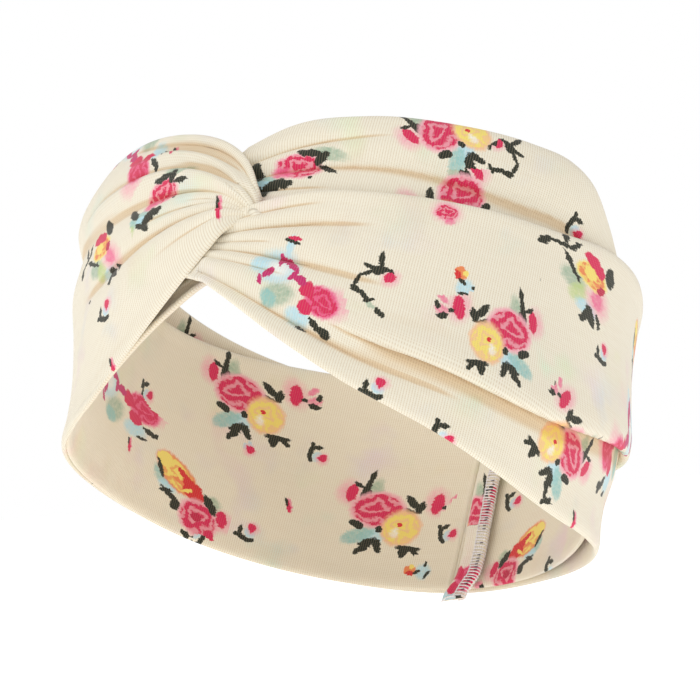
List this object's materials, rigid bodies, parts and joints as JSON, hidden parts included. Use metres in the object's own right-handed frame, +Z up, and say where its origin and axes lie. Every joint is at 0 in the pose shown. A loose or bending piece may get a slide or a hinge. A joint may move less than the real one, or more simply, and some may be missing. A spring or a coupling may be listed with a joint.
{
  "type": "knotted headband",
  "caption": "Wide twist-front jersey headband: two hooked printed strips form the front knot and join in an overlocked back seam.",
  "frame": {"origin": "centre of the head opening, on the loop's own axis", "axes": "+Z up as worn on an upright head, the knot faces -Y, +X to the right of the knot seen from the front; the loop is tilted 29 degrees about X, knot up"},
  "size_m": [0.1797, 0.1666, 0.1513],
  "materials": {
    "printed_jersey": "matte",
    "overlock_thread": "satin"
  },
  "bodies": {
    "band": {"left_strip_outer_leg": "printed_jersey", "left_strip_inner_leg": "printed_jersey", "left_strip_knot_bight": "printed_jersey", "right_strip_outer_leg": "printed_jersey", "right_strip_inner_leg": "printed_jersey", "right_strip_knot_bight": "printed_jersey"},
    "seam_flap": {"seam_allowance": "printed_jersey", "overlock_thread": "overlock_thread"}
  },
  "joints": [
    {"name": "seam_flap_swing", "type": "hinge", "parent": "band", "child": "seam_flap", "pos_m": [0, 0.06319, -0.03503], "axis": [0, 0.4848, 0.8746], "range_deg": [-150, 0]}
  ]
}
